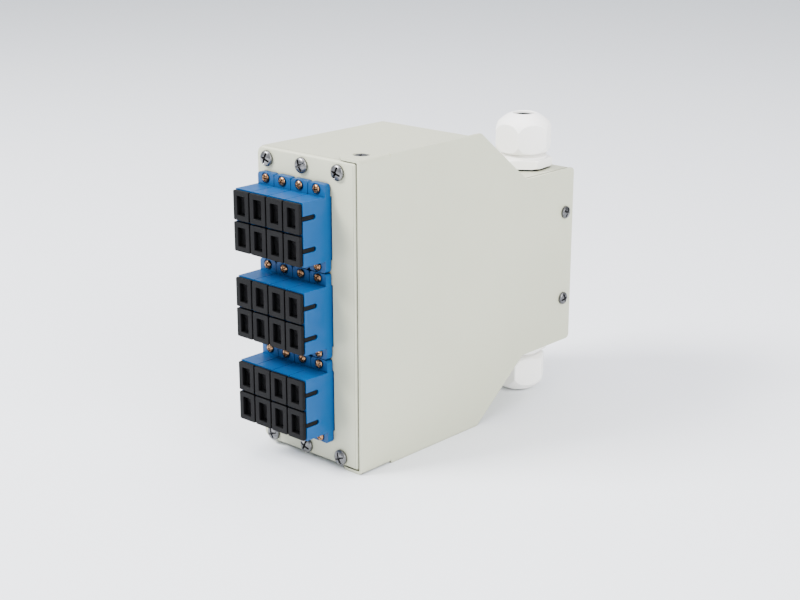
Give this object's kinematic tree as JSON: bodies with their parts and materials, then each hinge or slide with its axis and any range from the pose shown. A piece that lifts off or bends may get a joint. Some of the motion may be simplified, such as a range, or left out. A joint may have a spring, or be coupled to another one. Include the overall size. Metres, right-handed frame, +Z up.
{
  "type": "fiber termination box",
  "caption": "Steel rail-mount fibre termination box with duplex adapters and dust caps on the front, a screwed side cover, cable glands on its rear neck and a rail clip.",
  "frame": {"origin": "on the surface the box stands on, under the middle of the whole box (rail clip, dust caps and screw heads counted)", "axes": "+Z up, the front panel with the adapters faces -Y, the screwed side cover faces +X, the rail clip faces +Y"},
  "size_m": [0.0572, 0.1598, 0.125],
  "materials": {
    "cream_paint": "satin powder coat",
    "adapter_blue": "satin moulded",
    "cap_black": "moulded",
    "white_nylon": "moulded",
    "seal_rubber": "matte",
    "zinc_steel": "zinc plated",
    "latch_plastic": "moulded",
    "tray_plastic": "moulded",
    "lid_clear": "clear"
  },
  "bodies": {
    "case": {"body_shell": "cream_paint", "side_cover": "cream_paint", "front_panel": "cream_paint", "adapter_11": "adapter_blue", "adapter_12": "adapter_blue", "adapter_13": "adapter_blue", "adapter_14": "adapter_blue", "adapter_21": "adapter_blue", "adapter_22": "adapter_blue", "adapter_23": "adapter_blue", "adapter_24": "adapter_blue", "adapter_31": "adapter_blue", "adapter_32": "adapter_blue", "adapter_33": "adapter_blue", "adapter_34": "adapter_blue", "gland_top_body": "white_nylon", "gland_bottom_body": "white_nylon", "panel_screw_bottom_left": "zinc_steel", "panel_screw_bottom_middle": "zinc_steel", "panel_screw_bottom_right": "zinc_steel", "panel_screw_top_left": "zinc_steel", "panel_screw_top_middle": "zinc_steel", "panel_screw_top_right": "zinc_steel", "cover_screw_rear_lower": "zinc_steel", "cover_screw_rear_upper": "zinc_steel", "cover_screw_top": "zinc_steel", "cover_screw_bottom": "zinc_steel", "rail_bracket": "zinc_steel", "latch_spring": "zinc_steel", "splice_tray": "tray_plastic", "tray_lid": "lid_clear"},
    "cap_11_upper": {"dust_cap_11_upper": "cap_black"},
    "cap_11_lower": {"dust_cap_11_lower": "cap_black"},
    "cap_12_upper": {"dust_cap_12_upper": "cap_black"},
    "cap_12_lower": {"dust_cap_12_lower": "cap_black"},
    "cap_13_upper": {"dust_cap_13_upper": "cap_black"},
    "cap_13_lower": {"dust_cap_13_lower": "cap_black"},
    "cap_14_upper": {"dust_cap_14_upper": "cap_black"},
    "cap_14_lower": {"dust_cap_14_lower": "cap_black"},
    "cap_21_upper": {"dust_cap_21_upper": "cap_black"},
    "cap_21_lower": {"dust_cap_21_lower": "cap_black"},
    "cap_22_upper": {"dust_cap_22_upper": "cap_black"},
    "cap_22_lower": {"dust_cap_22_lower": "cap_black"},
    "cap_23_upper": {"dust_cap_23_upper": "cap_black"},
    "cap_23_lower": {"dust_cap_23_lower": "cap_black"},
    "cap_24_upper": {"dust_cap_24_upper": "cap_black"},
    "cap_24_lower": {"dust_cap_24_lower": "cap_black"},
    "cap_31_upper": {"dust_cap_31_upper": "cap_black"},
    "cap_31_lower": {"dust_cap_31_lower": "cap_black"},
    "cap_32_upper": {"dust_cap_32_upper": "cap_black"},
    "cap_32_lower": {"dust_cap_32_lower": "cap_black"},
    "cap_33_upper": {"dust_cap_33_upper": "cap_black"},
    "cap_33_lower": {"dust_cap_33_lower": "cap_black"},
    "cap_34_upper": {"dust_cap_34_upper": "cap_black"},
    "cap_34_lower": {"dust_cap_34_lower": "cap_black"},
    "seal_top": {"gland_top_seal": "seal_rubber"},
    "nut_top": {"gland_top_nut": "white_nylon"},
    "seal_bottom": {"gland_bottom_seal": "seal_rubber"},
    "nut_bottom": {"gland_bottom_nut": "white_nylon"},
    "latch": {"rail_latch": "latch_plastic"}
  },
  "joints": [
    {"name": "cap_11_upper_pull", "type": "slide", "parent": "case", "child": "cap_11_upper", "axis": [0, -1, 0], "range_m": [0, 0.02]},
    {"name": "cap_11_lower_pull", "type": "slide", "parent": "case", "child": "cap_11_lower", "axis": [0, -1, 0], "range_m": [0, 0.02]},
    {"name": "cap_12_upper_pull", "type": "slide", "parent": "case", "child": "cap_12_upper", "axis": [0, -1, 0], "range_m": [0, 0.02]},
    {"name": "cap_12_lower_pull", "type": "slide", "parent": "case", "child": "cap_12_lower", "axis": [0, -1, 0], "range_m": [0, 0.02]},
    {"name": "cap_13_upper_pull", "type": "slide", "parent": "case", "child": "cap_13_upper", "axis": [0, -1, 0], "range_m": [0, 0.02]},
    {"name": "cap_13_lower_pull", "type": "slide", "parent": "case", "child": "cap_13_lower", "axis": [0, -1, 0], "range_m": [0, 0.02]},
    {"name": "cap_14_upper_pull", "type": "slide", "parent": "case", "child": "cap_14_upper", "axis": [0, -1, 0], "range_m": [0, 0.02]},
    {"name": "cap_14_lower_pull", "type": "slide", "parent": "case", "child": "cap_14_lower", "axis": [0, -1, 0], "range_m": [0, 0.02]},
    {"name": "cap_21_upper_pull", "type": "slide", "parent": "case", "child": "cap_21_upper", "axis": [0, -1, 0], "range_m": [0, 0.02]},
    {"name": "cap_21_lower_pull", "type": "slide", "parent": "case", "child": "cap_21_lower", "axis": [0, -1, 0], "range_m": [0, 0.02]},
    {"name": "cap_22_upper_pull", "type": "slide", "parent": "case", "child": "cap_22_upper", "axis": [0, -1, 0], "range_m": [0, 0.02]},
    {"name": "cap_22_lower_pull", "type": "slide", "parent": "case", "child": "cap_22_lower", "axis": [0, -1, 0], "range_m": [0, 0.02]},
    {"name": "cap_23_upper_pull", "type": "slide", "parent": "case", "child": "cap_23_upper", "axis": [0, -1, 0], "range_m": [0, 0.02]},
    {"name": "cap_23_lower_pull", "type": "slide", "parent": "case", "child": "cap_23_lower", "axis": [0, -1, 0], "range_m": [0, 0.02]},
    {"name": "cap_24_upper_pull", "type": "slide", "parent": "case", "child": "cap_24_upper", "axis": [0, -1, 0], "range_m": [0, 0.02]},
    {"name": "cap_24_lower_pull", "type": "slide", "parent": "case", "child": "cap_24_lower", "axis": [0, -1, 0], "range_m": [0, 0.02]},
    {"name": "cap_31_upper_pull", "type": "slide", "parent": "case", "child": "cap_31_upper", "axis": [0, -1, 0], "range_m": [0, 0.02]},
    {"name": "cap_31_lower_pull", "type": "slide", "parent": "case", "child": "cap_31_lower", "axis": [0, -1, 0], "range_m": [0, 0.02]},
    {"name": "cap_32_upper_pull", "type": "slide", "parent": "case", "child": "cap_32_upper", "axis": [0, -1, 0], "range_m": [0, 0.02]},
    {"name": "cap_32_lower_pull", "type": "slide", "parent": "case", "child": "cap_32_lower", "axis": [0, -1, 0], "range_m": [0, 0.02]},
    {"name": "cap_33_upper_pull", "type": "slide", "parent": "case", "child": "cap_33_upper", "axis": [0, -1, 0], "range_m": [0, 0.02]},
    {"name": "cap_33_lower_pull", "type": "slide", "parent": "case", "child": "cap_33_lower", "axis": [0, -1, 0], "range_m": [0, 0.02]},
    {"name": "cap_34_upper_pull", "type": "slide", "parent": "case", "child": "cap_34_upper", "axis": [0, -1, 0], "range_m": [0, 0.02]},
    {"name": "cap_34_lower_pull", "type": "slide", "parent": "case", "child": "cap_34_lower", "axis": [0, -1, 0], "range_m": [0, 0.02]},
    {"name": "seal_top_lift", "type": "slide", "parent": "case", "child": "seal_top", "axis": [0, 0, 1], "range_m": [0, 0.0045]},
    {"name": "nut_top_turn", "type": "hinge", "parent": "seal_top", "child": "nut_top", "pos_m": [0.00935, 0.0567, 0.1161], "axis": [0, 0, 1], "range_deg": [0, 1080]},
    {"name": "seal_bottom_lift", "type": "slide", "parent": "case", "child": "seal_bottom", "axis": [0, 0, -1], "range_m": [0, 0.0045]},
    {"name": "nut_bottom_turn", "type": "hinge", "parent": "seal_bottom", "child": "nut_bottom", "pos_m": [0.00935, 0.0567, 0.0089], "axis": [0, 0, -1], "range_deg": [0, 1080]},
    {"name": "latch_pull", "type": "slide", "parent": "case", "child": "latch", "axis": [0, 0, -1], "range_m": [0, 0.0055], "stiffness_N_per_m": 600, "springref_m": -0.003, "deforming": ["latch_spring"]}
  ],
  "couplings": [
    {"joint": "nut_top_turn", "follows": "seal_top_lift", "rad_per_m": 4188.8},
    {"joint": "nut_bottom_turn", "follows": "seal_bottom_lift", "rad_per_m": 4188.8}
  ]
}
